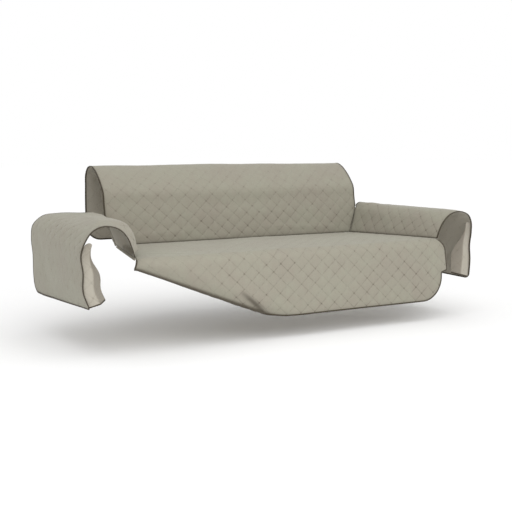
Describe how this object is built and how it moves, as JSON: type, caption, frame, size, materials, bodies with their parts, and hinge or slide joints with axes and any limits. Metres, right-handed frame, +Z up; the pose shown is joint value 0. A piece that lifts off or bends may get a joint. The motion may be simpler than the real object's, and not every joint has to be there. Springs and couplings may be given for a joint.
{
  "type": "sofa slipcover",
  "caption": "Quilted throw-style slipcover in its worn shape, hollow under back, seat and arms, with bound edges and one front corner of its flap turned under.",
  "frame": {"origin": "under the middle of the back's ridge, where the cover hangs from what it is worn on", "axes": "+X across the seat towards the right arm as seen from the front, +Y to the rear, +Z up"},
  "size_m": [2.3058, 0.9649, 0.7363],
  "materials": {
    "quilted_cloth": "matte brushed microfibre, sage beige, quilted in diamonds",
    "binding_tape": "matte woven tape, dark olive brown"
  },
  "bodies": {
    "root": {"back_panel": "quilted_cloth", "seat_panel": "quilted_cloth", "arm_panel_left": "quilted_cloth", "arm_panel_right": "quilted_cloth", "arm_return_left": "quilted_cloth", "arm_return_right": "quilted_cloth", "back_binding": "binding_tape", "seat_binding": "binding_tape", "arm_binding_left": "binding_tape", "arm_binding_right": "binding_tape"}
  },
  "joints": []
}
